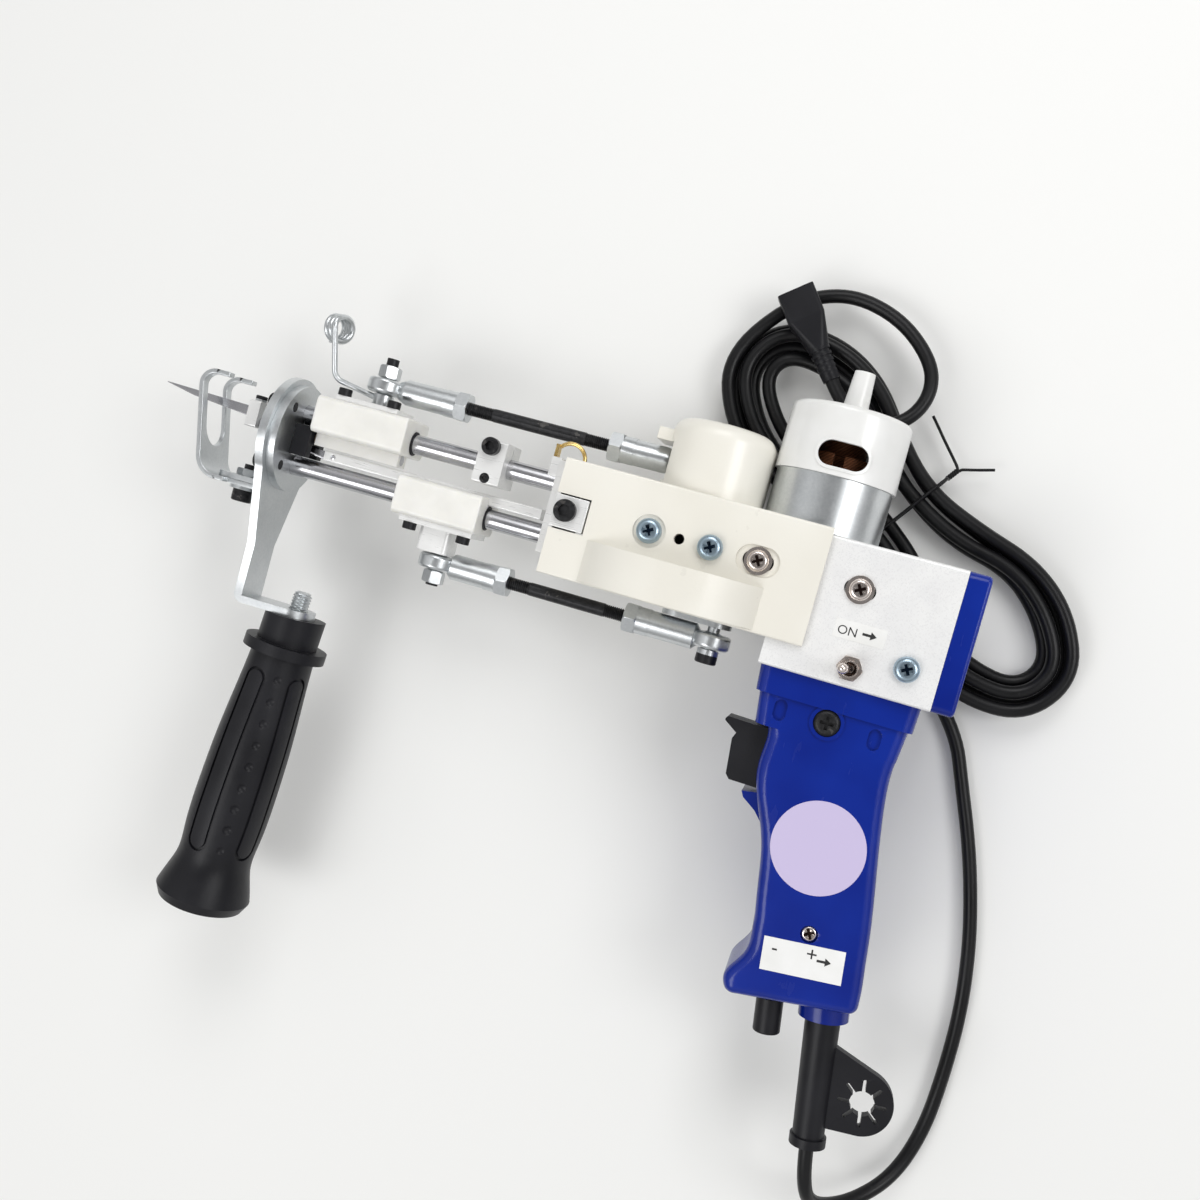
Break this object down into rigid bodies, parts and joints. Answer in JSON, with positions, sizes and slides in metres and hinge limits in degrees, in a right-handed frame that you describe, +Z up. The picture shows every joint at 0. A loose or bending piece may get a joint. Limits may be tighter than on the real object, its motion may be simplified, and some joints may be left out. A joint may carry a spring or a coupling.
{
  "type": "handheld tufting machine",
  "caption": "Handheld electric tufting machine with reciprocating needle and scissors, side handle, blue pistol grip, motor and coiled power cord.",
  "frame": {"origin": "on the surface it lies on, below the middle of the machine's bounding box without its free cord", "axes": "+X from the needle towards the grip's cord sleeve, +Y from the grip towards the motor, +Z up through the face with the labels"},
  "size_m": [0.3891, 0.3549, 0.0868],
  "materials": {
    "white": "semi-gloss cream white enamel",
    "aluminium": "blasted bright",
    "bright": "machined",
    "steel": "polished",
    "zinc": "zinc plated",
    "nickel": "nickel plated",
    "black_steel": "black oxide",
    "black_plastic": "satin",
    "cord": "satin",
    "nylon": "milky",
    "cover": "milky",
    "blue": "glossy royal blue",
    "bronze": "plain",
    "brass": "plain",
    "board": "green laminate",
    "winding": "enamelled copper",
    "label": "printed film"
  },
  "bodies": {
    "frame": {"housing_near": "white", "housing_far": "white", "crank_guard": "white", "shaft_bearings": "steel", "motor_can": "zinc", "motor_cover": "cover", "motor_box": "aluminium", "end_cap": "blue", "circuit_board": "board", "toggle_switch": "nickel", "zinc_fasteners": "zinc", "nickel_fasteners": "nickel", "black_screws": "black_steel", "guide_rods": "steel", "rear_plate": "bright", "clamp_block": "bright", "rear_yarn_ring": "brass", "front_disc": "zinc", "needle_guide": "black_plastic", "needle_bush": "bronze", "handle_bracket": "zinc", "side_handle": "black_plastic", "handle_stud": "zinc", "grip_near": "blue", "grip_far": "blue", "grip_controls": "black_plastic", "cord_sleeve": "black_plastic", "printed_labels": "label", "cord_lead": "cord", "cord_hank": "cord", "cord_tail": "cord", "cord_connector": "black_plastic", "twist_tie": "cord"},
    "crank": {"crankshaft": "steel", "crank_gear": "nylon", "blade_crank": "zinc"},
    "rotor": {"motor_armature": "winding", "motor_pinion": "steel"},
    "needle_carriage": {"needle_slider": "nylon", "needle_slider_bush": "black_plastic", "needle_plate": "bright", "needle_fasteners": "zinc", "needle_bar": "steel", "hollow_needle": "steel", "needle_holder": "bright", "yarn_guide": "zinc"},
    "blade_carriage": {"blade_slider": "nylon", "blade_slider_bush": "black_plastic", "blade_plate": "bright", "blade_fasteners": "zinc", "blade_bar": "bright", "scissor_blades": "steel"},
    "needle_rod": {"upper_push_rod": "black_steel", "upper_rod_ends": "zinc"},
    "blade_rod": {"lower_push_rod": "black_steel", "lower_rod_ends": "zinc"},
    "trigger": {"trigger": "black_plastic"},
    "toggle": {"toggle_lever": "nickel"},
    "knob": {"speed_knob": "black_plastic"},
    "foot": {"presser_foot": "zinc"}
  },
  "joints": [
    {"name": "crank_spin", "type": "hinge", "parent": "frame", "child": "crank", "pos_m": [0.0532, 0.0626, 0.0434], "axis": [0, 1, 0], "continuous": true},
    {"name": "motor_spin", "type": "hinge", "parent": "frame", "child": "rotor", "pos_m": [0.0972, 0.0626, 0.0434], "axis": [0, 1, 0], "continuous": true},
    {"name": "needle_slide", "type": "slide", "parent": "frame", "child": "needle_carriage", "axis": [1, 0, 0], "range_m": [0, 0.015]},
    {"name": "blade_slide", "type": "slide", "parent": "frame", "child": "blade_carriage", "axis": [1, 0, 0], "range_m": [-0.03, 0]},
    {"name": "needle_rod_swing", "type": "hinge", "parent": "needle_carriage", "child": "needle_rod", "pos_m": [-0.0874, 0.0936, 0.0434], "axis": [0, 1, 0], "range_deg": [-3.2, 3.2]},
    {"name": "blade_rod_swing", "type": "hinge", "parent": "blade_carriage", "child": "blade_rod", "pos_m": [-0.047, 0.0306, 0.0434], "axis": [0, 1, 0], "range_deg": [-7.5, 7.5]},
    {"name": "trigger_press", "type": "slide", "parent": "frame", "child": "trigger", "axis": [1, 0, 0], "range_m": [0, 0.006], "stiffness_N_per_m": 500, "springref_m": -0.002},
    {"name": "toggle_flip", "type": "hinge", "parent": "frame", "child": "toggle", "pos_m": [0.1214, 0.0362, 0.0712], "axis": [0, 1, 0], "range_deg": [0, 24]},
    {"name": "speed_turn", "type": "hinge", "parent": "frame", "child": "knob", "pos_m": [0.1266, -0.0907, 0.0434], "axis": [0.1478, -0.989, 0], "range_deg": [0, 270]},
    {"name": "foot_slide", "type": "slide", "parent": "frame", "child": "foot", "axis": [1, 0, 0], "range_m": [-0.007, 0]}
  ],
  "couplings": [
    {"joint": "motor_spin", "follows": "crank_spin", "ratio": -4.5},
    {"joint": "blade_slide", "follows": "needle_slide", "ratio": -2}
  ]
}
